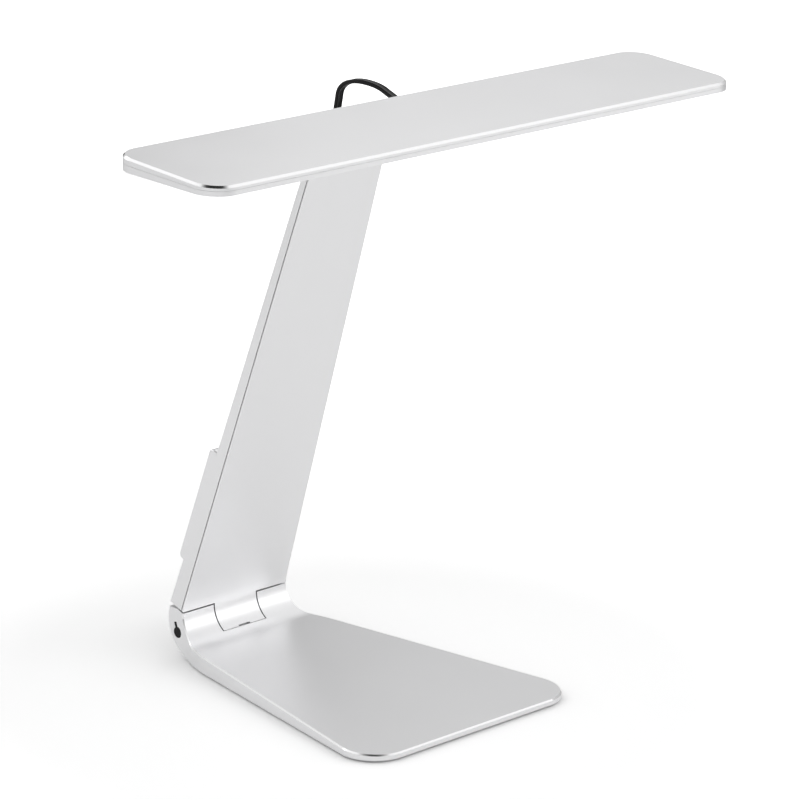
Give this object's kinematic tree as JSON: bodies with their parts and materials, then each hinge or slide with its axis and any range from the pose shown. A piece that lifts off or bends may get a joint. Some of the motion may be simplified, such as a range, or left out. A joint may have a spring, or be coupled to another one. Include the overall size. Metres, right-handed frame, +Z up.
{
  "type": "led desk lamp",
  "caption": "Folding aluminium LED desk lamp: wedge base curving up into a knuckle hinge, flat leaning arm and a thin tilting bar head, with a push button on the arm's back.",
  "frame": {"origin": "on the table, under the middle of the lamp's outline", "axes": "+X along the head to the lamp's own left-to-right, +Y to the rear, +Z up; the head reaches forward to -Y"},
  "size_m": [0.2364, 0.1359, 0.2154],
  "materials": {
    "satin_aluminium": "bead-blasted satin anodised, polished chamfers",
    "button_aluminium": "turned satin face",
    "cover_plastic": "fine moulded grain",
    "ballast_iron": "rough cast",
    "black_rubber": "matt",
    "screw_steel": "plated",
    "hinge_steel": "ground",
    "socket_steel": "tinned",
    "black_pin": "black oxide",
    "sleeve_polymer": "natural acetal",
    "cell_foil": "foil pouch",
    "green_board": "solder mask",
    "white_board": "white solder mask",
    "switch_plastic": "moulded",
    "led_phosphor": "phosphor gel",
    "opal_acrylic": "opal satin",
    "black_lead": "semi-matt jacket"
  },
  "bodies": {
    "base": {"base_shell": "satin_aluminium", "base_bottom_cover": "cover_plastic", "ballast_plate": "ballast_iron", "rubber_feet": "black_rubber", "base_screws": "screw_steel", "hinge_pin": "black_pin", "hinge_washers": "hinge_steel"},
    "arm": {"arm_front_panel": "satin_aluminium", "arm_rear_shell": "satin_aluminium", "hinge_sleeve": "sleeve_polymer", "battery_cell": "cell_foil", "control_board": "green_board", "board_screws": "screw_steel", "charging_socket": "socket_steel", "tact_switch": "switch_plastic", "arm_screws": "screw_steel", "arm_lead": "black_lead", "arm_grommet": "black_rubber", "tilt_bracket": "hinge_steel", "tilt_sleeve": "sleeve_polymer", "lead_loop": "black_lead"},
    "button": {"power_button": "button_aluminium"},
    "head": {"head_top_cover": "satin_aluminium", "head_frame": "satin_aluminium", "diffuser": "opal_acrylic", "led_board": "white_board", "led_chips": "led_phosphor", "head_neck": "satin_aluminium", "tilt_pin": "hinge_steel", "tilt_washers": "hinge_steel", "neck_screws": "screw_steel", "head_screws": "screw_steel", "head_grommet": "black_rubber", "head_lead": "black_lead"}
  },
  "joints": [
    {"name": "base_fold", "type": "hinge", "parent": "base", "child": "arm", "pos_m": [0, 0.06287, 0.0094], "axis": [1, 0, 0], "range_deg": [0, 72]},
    {"name": "head_tilt", "type": "hinge", "parent": "arm", "child": "head", "pos_m": [0, -0.00325, 0.19997], "axis": [-1, 0, 0], "range_deg": [-30, 72], "deforming": ["lead_loop"]},
    {"name": "power_press", "type": "slide", "parent": "arm", "child": "button", "axis": [0, -0.9409, -0.3387], "range_m": [0, 0.0006], "stiffness_N_per_m": 2500}
  ]
}
